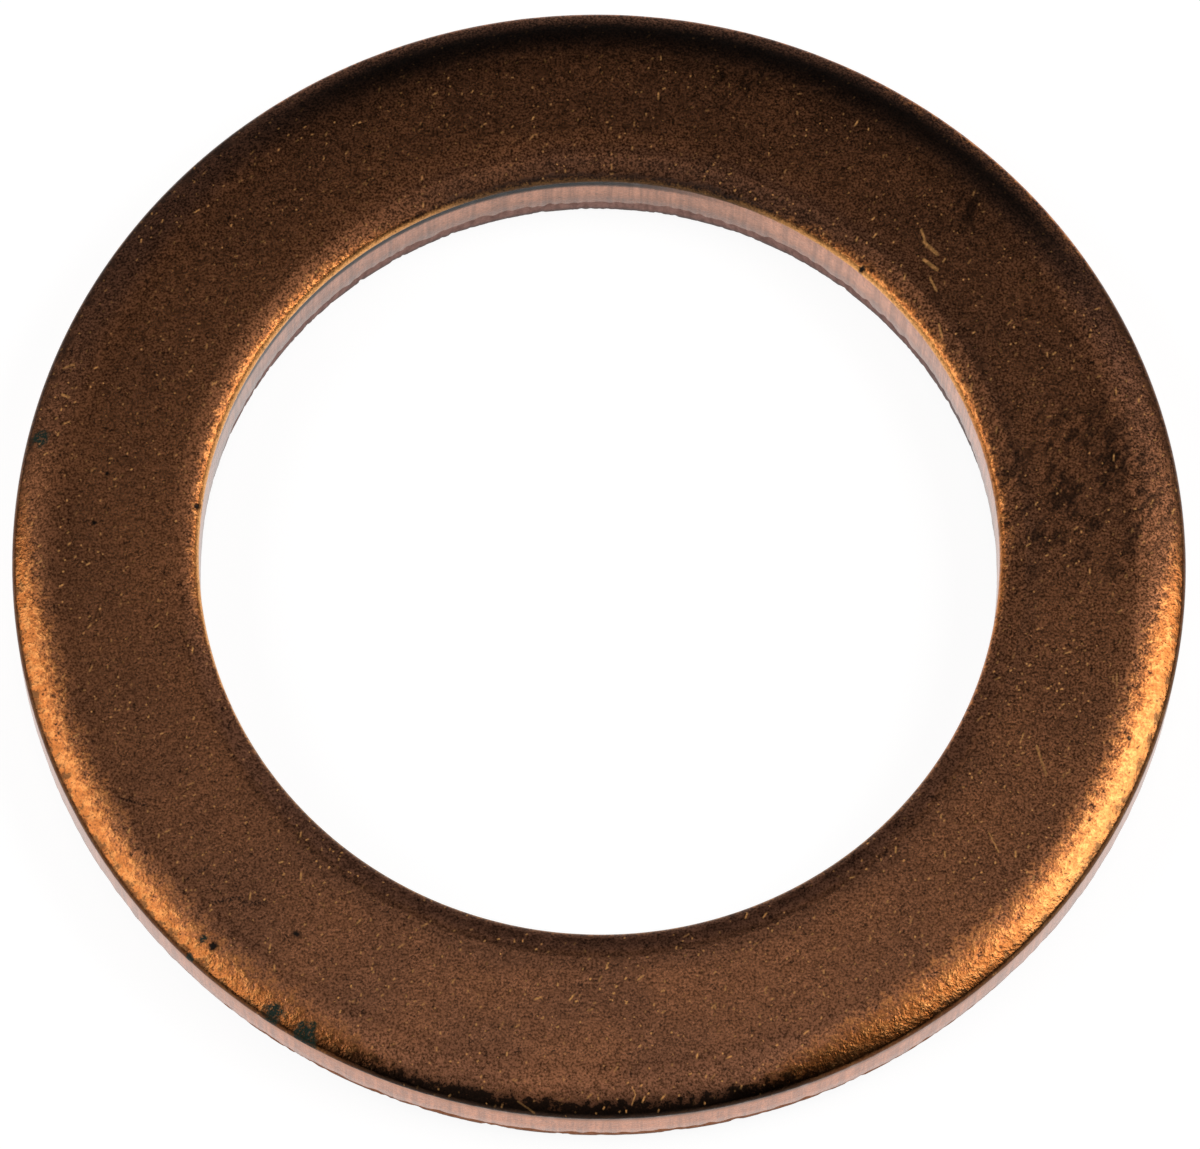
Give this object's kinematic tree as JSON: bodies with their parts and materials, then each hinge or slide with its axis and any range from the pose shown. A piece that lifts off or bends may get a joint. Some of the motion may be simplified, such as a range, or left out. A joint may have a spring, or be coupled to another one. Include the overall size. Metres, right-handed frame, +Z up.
{
  "type": "crush washer",
  "caption": "Flat copper ring with rolled upper edges and sheared walls, squeezed under a plug or banjo bolt to seal its joint.",
  "frame": {"origin": "centre of the ring on its lower face, which lies on the floor", "axes": "+Z up along the bore axis, towards the face with the rolled edges; X and Y lie in the plane of the ring"},
  "size_m": [0.0178, 0.0178, 0.0015],
  "materials": {
    "copper": "soft copper with a mottled brown tarnish, rubbed bright on the rolled edges, with pale sheared walls"
  },
  "bodies": {
    "root": {"washer": "copper"}
  },
  "joints": []
}
